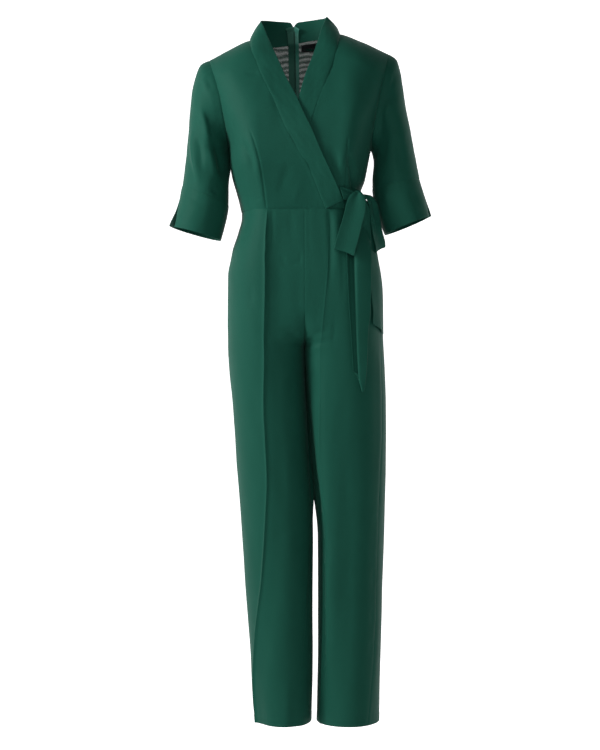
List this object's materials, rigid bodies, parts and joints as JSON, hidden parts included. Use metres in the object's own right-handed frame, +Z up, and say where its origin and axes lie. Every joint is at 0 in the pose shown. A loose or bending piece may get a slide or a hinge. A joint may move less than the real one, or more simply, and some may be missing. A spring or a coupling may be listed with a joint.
{
  "type": "wrap-front jumpsuit",
  "caption": "Wrap-front crepe jumpsuit with shawl collar, elbow sleeves, full-length creased trousers, side bow and back zip, in its worn hollow shape.",
  "frame": {"origin": "midway between the neck ends of the two shoulder seams, where the wearer's shoulders hold the garment", "axes": "+Z up; the front faces -Y; the wearer's left is +X"},
  "size_m": [0.5422, 0.2585, 1.4801],
  "materials": {
    "crepe": "dark emerald crepe, matt with a soft sheen",
    "zip_tape": "matt woven tape",
    "zip_metal": "satin enamel in the cloth's colour",
    "label": "matt black satin ribbon, plain"
  },
  "bodies": {
    "garment": {"bodice_front_right": "crepe", "bodice_front_left": "crepe", "bodice_back_right": "crepe", "bodice_back_left": "crepe", "collar_right": "crepe", "collar_left": "crepe", "sleeve_right": "crepe", "sleeve_left": "crepe", "cuff_right": "crepe", "cuff_left": "crepe", "trouser_front_right": "crepe", "trouser_front_left": "crepe", "trouser_back_right": "crepe", "trouser_back_left": "crepe", "tie_lead": "crepe", "tie_knot": "crepe", "tie_loop_front": "crepe", "tie_loop_side": "crepe", "tie_tail_front": "crepe", "tie_tail_side": "crepe", "zip_tape_right": "zip_tape", "zip_tape_left": "zip_tape", "zip_slider": "zip_metal", "neck_label": "label"},
    "pull_tab": {"zip_pull": "zip_metal"}
  },
  "joints": [
    {"name": "pull_tab_hinge", "type": "hinge", "parent": "garment", "child": "pull_tab", "pos_m": [-0.01272, 0.06745, 0.0255], "axis": [1, 0, 0], "range_deg": [0, 150]}
  ]
}
